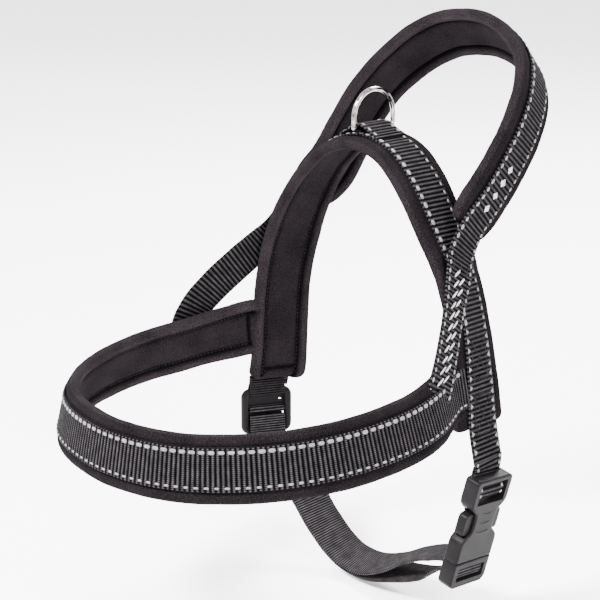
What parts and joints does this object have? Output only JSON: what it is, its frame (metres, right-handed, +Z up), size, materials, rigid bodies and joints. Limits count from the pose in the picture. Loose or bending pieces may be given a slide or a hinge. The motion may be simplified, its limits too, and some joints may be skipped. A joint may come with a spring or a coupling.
{
  "type": "padded dog harness",
  "caption": "Padded walking harness for a dog: saddle and chest bands, carry handle on the back, metal leash ring, quick-release buckle and adjustable belly strap.",
  "frame": {"origin": "inner face of the saddle pad at the top of the wearer's back, under the leash ring", "axes": "+Z up, -Y towards the wearer's nose, +X towards the wearer's left side, where the buckle is"},
  "size_m": [0.2422, 0.3318, 0.3669],
  "materials": {
    "neoprene": "matte knitted face over soft padding",
    "webbing": "ribbed woven webbing, slight sheen",
    "strap": "fine ribbed woven strap",
    "ring_steel": "polished",
    "buckle_plastic": "fine moulded grain"
  },
  "bodies": {
    "harness": {"saddle_pad": "neoprene", "saddle_webbing": "webbing", "chest_pad": "neoprene", "chest_webbing": "webbing", "left_brace": "webbing", "right_brace": "webbing", "ring_keeper": "webbing", "buckle_web_loop": "webbing", "slider_web_loop": "webbing", "buckle_housing": "buckle_plastic", "belly_strap": "strap", "belly_return": "strap"},
    "ring": {"leash_ring": "ring_steel"},
    "handle": {"handle_pad": "neoprene", "handle_webbing": "webbing"},
    "plug": {"buckle_plug": "buckle_plastic"},
    "front_latch": {"latch_front": "buckle_plastic"},
    "rear_latch": {"latch_rear": "buckle_plastic"},
    "slider": {"strap_slider": "buckle_plastic"}
  },
  "joints": [
    {"name": "leash_ring_swing", "type": "hinge", "parent": "harness", "child": "ring", "pos_m": [0, 0.001, 0.00795], "axis": [0, 1, 0], "range_deg": [-85, 85]},
    {"name": "handle_fold", "type": "hinge", "parent": "harness", "child": "handle", "pos_m": [0, -0.001, -0.06], "axis": [1, 0, 0], "range_deg": [-26, 45]},
    {"name": "buckle_release", "type": "slide", "parent": "harness", "child": "plug", "axis": [-0.2184, -0.1007, -0.9707], "range_m": [0, 0.034], "deforming": ["belly_strap", "belly_return", "latch_front", "latch_rear"]},
    {"name": "front_latch_squeeze", "type": "hinge", "parent": "plug", "child": "front_latch", "pos_m": [0.09437, -0.01132, -0.25195], "axis": [-0.9726, -0.0595, 0.225], "range_deg": [0, 7], "stiffness_Nm_per_rad": 0.8},
    {"name": "rear_latch_squeeze", "type": "hinge", "parent": "plug", "child": "rear_latch", "pos_m": [0.09317, 0.00358, -0.25323], "axis": [0.9726, 0.0595, -0.225], "range_deg": [0, 7], "stiffness_Nm_per_rad": 0.8},
    {"name": "slider_swing", "type": "hinge", "parent": "harness", "child": "slider", "pos_m": [-0.1, -0.003, -0.19], "axis": [0.4067, 0.9136, 0], "range_deg": [-25, 25], "deforming": ["belly_strap", "belly_return"]}
  ]
}
